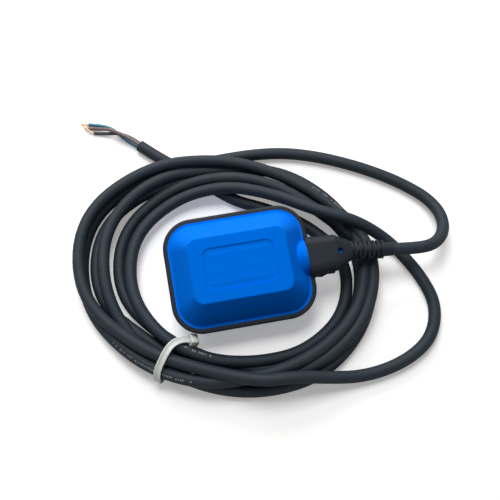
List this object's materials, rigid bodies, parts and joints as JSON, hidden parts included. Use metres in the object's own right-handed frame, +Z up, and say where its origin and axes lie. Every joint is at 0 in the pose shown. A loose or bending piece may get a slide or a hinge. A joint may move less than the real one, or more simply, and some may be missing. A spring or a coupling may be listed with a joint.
{
  "type": "float level switch",
  "caption": "Sealed tank float with wide bevels and a rubber seam band, boot and rubber cord; a ball inside works a microswitch. The cord is coiled round it, tied and stripped at its end",
  "frame": {"origin": "On the floor under the middle of the float with its boot, cord left out; the float lies with its far long side tipped up 12 degrees and the near edge of its lower face on the floor.", "axes": "+X from the float to its cord boot, +Y across the float to the long side that is tipped up, +Z up."},
  "size_m": [0.2671, 0.2316, 0.0494],
  "materials": {
    "float_plastic": "satin moulded polypropylene",
    "boot_rubber": "satin overmoulded rubber",
    "cord_rubber": "satin rubber cord jacket",
    "capsule_plastic": "satin natural plastic",
    "seal_rubber": "matt rubber",
    "track_plastic": "satin plastic",
    "switch_plastic": "matt plastic",
    "plunger_plastic": "satin red plastic",
    "clamp_plastic": "matt plastic",
    "bright_steel": "polished steel",
    "spring_brass": "rolled brass strip",
    "bare_copper": "bare twisted copper strands",
    "tie_nylon": "milky nylon",
    "blue_insulation": "satin core insulation",
    "brown_insulation": "satin core insulation",
    "black_insulation": "satin core insulation"
  },
  "bodies": {
    "housing": {"upper_shell": "float_plastic", "lower_shell": "float_plastic", "seam_and_boot": "boot_rubber", "capsule_base": "capsule_plastic", "capsule_lid": "capsule_plastic", "capsule_gasket": "seal_rubber", "cord_grommet": "seal_rubber", "ball_track": "track_plastic", "switch_case": "switch_plastic", "switch_cover": "switch_plastic", "switch_screws": "bright_steel", "lever_pin": "bright_steel", "terminal_com": "spring_brass", "terminal_no": "spring_brass", "terminal_nc": "spring_brass", "cord_clamp": "clamp_plastic", "clamp_screws": "bright_steel", "cord_in_float": "cord_rubber", "wire_brown": "brown_insulation", "wire_black": "black_insulation", "wire_blue": "blue_insulation", "cord_lead": "cord_rubber", "cord_loop": "cord_rubber", "cord_tail": "cord_rubber", "cord_coil": "cord_rubber", "cable_tie": "tie_nylon", "core_blue": "blue_insulation", "core_brown": "brown_insulation", "core_black": "black_insulation", "copper_blue": "bare_copper", "copper_brown": "bare_copper", "copper_black": "bare_copper"},
    "ball": {"steel_ball": "bright_steel"},
    "lever": {"switch_lever": "bright_steel"},
    "plunger": {"switch_plunger": "plunger_plastic"},
    "blade": {"contact_blade": "spring_brass"}
  },
  "joints": [
    {"name": "ball_roll", "type": "slide", "parent": "housing", "child": "ball", "axis": [1, 0, 0], "range_m": [0, 0.012]},
    {"name": "lever_swing", "type": "hinge", "parent": "housing", "child": "lever", "pos_m": [-0.01742, -0.0044, 0.02376], "axis": [0, 0.2079, -0.9781], "range_deg": [0, 3.71]},
    {"name": "plunger_press", "type": "slide", "parent": "housing", "child": "plunger", "axis": [0, 0.9781, 0.2079], "range_m": [0, 0.00053]},
    {"name": "blade_swing", "type": "hinge", "parent": "housing", "child": "blade", "pos_m": [-0.01742, 0.00333, 0.0254], "axis": [0, 0.2079, -0.9781], "range_deg": [0, 3.79]}
  ],
  "couplings": [
    {"joint": "lever_swing", "follows": "ball_roll", "rad_per_m": 5.3819},
    {"joint": "plunger_press", "follows": "ball_roll", "ratio": 0.04399},
    {"joint": "blade_swing", "follows": "ball_roll", "rad_per_m": 5.4902}
  ]
}
